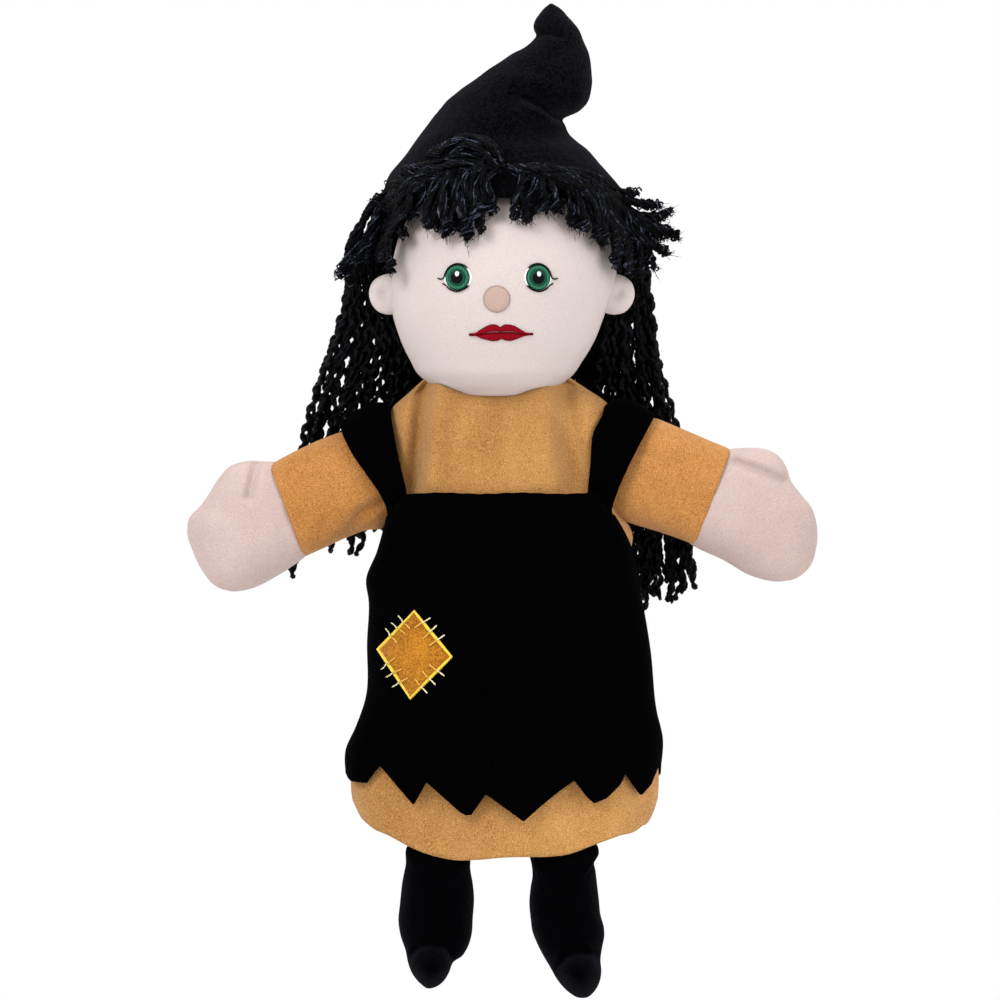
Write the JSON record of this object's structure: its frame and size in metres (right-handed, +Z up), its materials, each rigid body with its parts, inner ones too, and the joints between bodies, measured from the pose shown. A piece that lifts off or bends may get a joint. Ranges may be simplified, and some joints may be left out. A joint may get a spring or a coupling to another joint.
{
  "type": "hand puppet",
  "caption": "Plush witch glove puppet: padded head with felt hat and yarn hair, sleeved arms, zigzag tunic over a dress, dangling legs.",
  "frame": {"origin": "centre of the hand opening at the skirt's hem", "axes": "+Z up through the head, the puppet faces -Y, +X is the puppet's own left"},
  "size_m": [0.2432, 0.1075, 0.3795],
  "materials": {
    "tan_plush": "short-pile tan plush, warmer in the folds",
    "black_velour": "dense black velour with a soft sheen",
    "black_fleece": "black anti-pill fleece",
    "mustard_plush": "mustard short-pile plush",
    "yellow_thread": "rayon satin stitch, glossy",
    "lining_cloth": "plain woven cotton",
    "yarn": "black crimped acrylic yarn with a navy lustre",
    "hair_tape": "woven cotton tape",
    "skin_plush": "pale pink short-pile plush",
    "wadding": "polyester fibre filling",
    "nose_felt": "peach felt",
    "nose_thread": "peach stitching",
    "white_thread": "white satin stitch",
    "green_thread": "green satin stitch",
    "black_thread": "black satin stitch",
    "lip_thread": "crimson satin stitch",
    "lip_line_thread": "dark red satin stitch"
  },
  "bodies": {
    "glove": {"dress_front": "tan_plush", "dress_back": "tan_plush", "dress_hem": "tan_plush", "tunic_front": "black_velour", "tunic_back": "black_velour", "strap_left": "black_velour", "strap_right": "black_velour", "patch": "mustard_plush", "patch_border": "yellow_thread", "patch_stitches": "yellow_thread"},
    "neck": {"neck_tube": "lining_cloth", "neck_gather": "tan_plush", "hair_tail_left": "yarn", "hair_tail_right": "yarn", "hair_tail_back": "yarn"},
    "head": {"face_panel": "skin_plush", "head_back": "skin_plush", "head_stuffing": "wadding", "finger_pocket": "lining_cloth", "ear_left": "skin_plush", "ear_right": "skin_plush", "nose": "nose_felt", "nose_stitching": "nose_thread", "eye_whites": "white_thread", "irises": "green_thread", "pupils": "black_thread", "eye_highlights": "white_thread", "eye_outlines": "black_thread", "lashes": "black_thread", "lips": "lip_thread", "lip_line": "lip_line_thread", "hat_shell": "black_fleece", "hat_rim": "black_fleece", "hat_stuffing": "wadding", "fringe_left": "yarn", "fringe_right": "yarn", "hair_left": "yarn", "hair_right": "yarn", "hair_back": "yarn", "hair_tape": "hair_tape"},
    "left_shoulder": {"armhole_seam_left": "tan_plush"},
    "left_arm": {"sleeve_left": "tan_plush", "hand_left": "skin_plush", "hand_padding_left": "wadding"},
    "left_leg": {"leg_left": "black_velour", "leg_stuffing_left": "wadding", "boot_left": "black_velour", "boot_stuffing_left": "wadding"},
    "right_shoulder": {"armhole_seam_right": "tan_plush"},
    "right_arm": {"sleeve_right": "tan_plush", "hand_right": "skin_plush", "hand_padding_right": "wadding"},
    "right_leg": {"leg_right": "black_velour", "leg_stuffing_right": "wadding", "boot_right": "black_velour", "boot_stuffing_right": "wadding"}
  },
  "joints": [
    {"name": "head_nod", "type": "hinge", "parent": "glove", "child": "neck", "pos_m": [0, 0, 0.17], "axis": [-1, 0, 0], "range_deg": [-20, 6]},
    {"name": "head_turn", "type": "hinge", "parent": "neck", "child": "head", "pos_m": [0, 0, 0.17], "axis": [0, 0, 1], "range_deg": [-30, 30]},
    {"name": "left_arm_raise", "type": "hinge", "parent": "glove", "child": "left_shoulder", "pos_m": [0.054, 0, 0.145], "axis": [0, -1, 0], "range_deg": [-27, 40]},
    {"name": "left_arm_swing", "type": "hinge", "parent": "left_shoulder", "child": "left_arm", "pos_m": [0.054, 0, 0.145], "axis": [-0.3746, 0, -0.9272], "range_deg": [0, 50]},
    {"name": "left_leg_swing", "type": "hinge", "parent": "glove", "child": "left_leg", "pos_m": [0.024, -0.011, -0.003], "axis": [-1, 0, 0], "range_deg": [-40, 40]},
    {"name": "right_arm_raise", "type": "hinge", "parent": "glove", "child": "right_shoulder", "pos_m": [-0.054, 0, 0.145], "axis": [0, 1, 0], "range_deg": [-27, 40]},
    {"name": "right_arm_swing", "type": "hinge", "parent": "right_shoulder", "child": "right_arm", "pos_m": [-0.054, 0, 0.145], "axis": [-0.3746, 0, 0.9272], "range_deg": [0, 50]},
    {"name": "right_leg_swing", "type": "hinge", "parent": "glove", "child": "right_leg", "pos_m": [-0.024, -0.011, -0.003], "axis": [-1, 0, 0], "range_deg": [-40, 40]}
  ]
}
